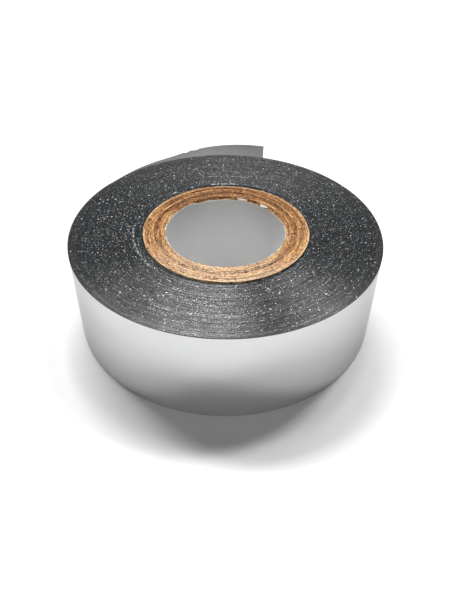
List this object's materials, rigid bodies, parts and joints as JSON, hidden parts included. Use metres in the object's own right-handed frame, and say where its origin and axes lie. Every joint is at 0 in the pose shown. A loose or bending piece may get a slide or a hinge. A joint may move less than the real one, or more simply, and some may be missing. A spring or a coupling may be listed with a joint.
{
  "type": "foil tape roll",
  "caption": "Roll of silver-coloured adhesive metal foil tape for stained glass, wound on a thick paper core, standing on its end face with the tape's free end lifted off at the back.",
  "frame": {"origin": "on the roll's axis, half way up its width", "axes": "+Z along the roll's axis, up from the end face it stands on; the tape's free end is on the +Y side and leaves the roll at about 141 degrees from +X"},
  "size_m": [0.0661, 0.0721, 0.0212],
  "materials": {
    "foil": "satin",
    "adhesive": "satin",
    "liner_film": "satin",
    "winding_edge": "satin",
    "leader_film": "satin",
    "tab_tape": "matte",
    "grey_paper": "matte",
    "light_kraft": "matte",
    "dark_kraft": "matte",
    "pale_kraft": "matte"
  },
  "bodies": {
    "roll": {"core_liner_ply": "grey_paper", "core_ply_1": "light_kraft", "core_ply_2": "light_kraft", "core_ply_3": "dark_kraft", "core_ply_4": "dark_kraft", "core_ply_5": "light_kraft", "core_ply_6": "light_kraft", "core_ply_7": "dark_kraft", "core_outer_ply": "pale_kraft", "starter_tab": "tab_tape", "leader_wraps": "leader_film", "wound_tape": "winding_edge", "outer_turn_liner": "liner_film", "outer_turn_adhesive": "adhesive", "outer_turn_foil": "foil"},
    "tail_near": {"tail_near_liner": "liner_film", "tail_near_adhesive": "adhesive", "tail_near_foil": "foil"},
    "tail_far": {"tail_far_liner": "liner_film", "tail_far_adhesive": "adhesive", "tail_far_foil": "foil"},
    "foil_end": {"tail_end_adhesive": "adhesive", "tail_end_foil": "foil"}
  },
  "joints": [
    {"name": "tail_peel", "type": "hinge", "parent": "roll", "child": "tail_near", "pos_m": [-0.02582, 0.02076, 0], "axis": [0, 0, 1], "range_deg": [-6, 40]},
    {"name": "tail_bend", "type": "hinge", "parent": "tail_near", "child": "tail_far", "pos_m": [-0.01344, 0.03214, 0], "axis": [0, 0, 1], "range_deg": [-6, 40]},
    {"name": "foil_lift", "type": "hinge", "parent": "tail_far", "child": "foil_end", "pos_m": [-0.0012, 0.03854, 0], "axis": [0, 0, 1], "range_deg": [0, 60]}
  ],
  "couplings": [
    {"joint": "tail_bend", "follows": "tail_peel", "ratio": 1}
  ]
}
